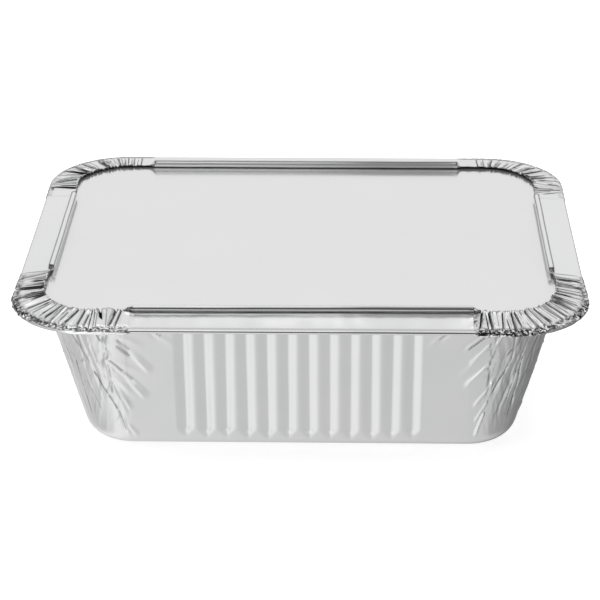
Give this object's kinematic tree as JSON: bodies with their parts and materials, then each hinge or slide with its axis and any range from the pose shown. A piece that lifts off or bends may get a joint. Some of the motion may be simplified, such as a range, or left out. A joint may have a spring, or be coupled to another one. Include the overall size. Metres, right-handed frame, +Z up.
{
  "type": "foil food container with board lid",
  "caption": "Shallow rectangular aluminium foil tray with fluted flared walls, closed by a foil-faced board lid under its folded, corner-pleated rim.",
  "frame": {"origin": "middle of the base's underside, on the surface the container stands on", "axes": "+Z up, +X along the long side of the rim, +Y from the front long wall to the back one"},
  "size_m": [0.145, 0.118, 0.0441],
  "materials": {
    "foil": "bright",
    "lid_foil": "foil laminate"
  },
  "bodies": {
    "root": {"foil_tray": "foil", "board_lid": "lid_foil"}
  },
  "joints": []
}
